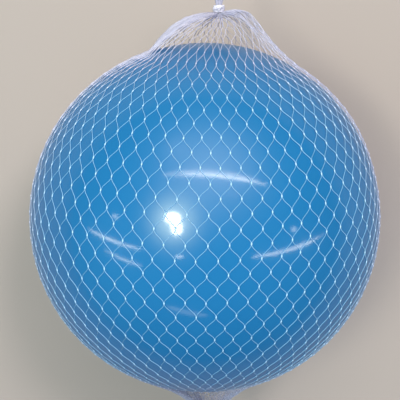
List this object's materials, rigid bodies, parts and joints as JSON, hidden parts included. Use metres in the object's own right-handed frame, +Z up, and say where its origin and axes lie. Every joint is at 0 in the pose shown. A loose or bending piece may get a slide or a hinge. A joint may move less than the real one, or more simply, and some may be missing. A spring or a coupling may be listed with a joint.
{
  "type": "netted play ball",
  "caption": "Inflated glossy plastic play ball with a push-in valve plug, held in a white diamond-mesh net that is gathered and tied at both ends.",
  "frame": {"origin": "the point of the floor straight under the ball's centre, on the flat where the net rests", "axes": "+Z up, +Y along the net towards its gathered neck, +X towards the valve"},
  "size_m": [0.2308, 0.3464, 0.2328],
  "materials": {
    "skin": "glossy blown PVC",
    "socket": "soft moulded PVC",
    "plug": "satin moulded plastic",
    "net": "drawn polyethylene strand, slightly see-through",
    "tie": "satin"
  },
  "bodies": {
    "netted_ball": {"ball_skin": "skin", "valve_socket": "socket", "net": "net", "neck_tie": "tie", "tail_tie": "tie"},
    "plug": {"valve_plug": "plug"}
  },
  "joints": [
    {"name": "plug_pull", "type": "slide", "parent": "netted_ball", "child": "plug", "axis": [1, 0, 0], "range_m": [0, 0.014]}
  ]
}
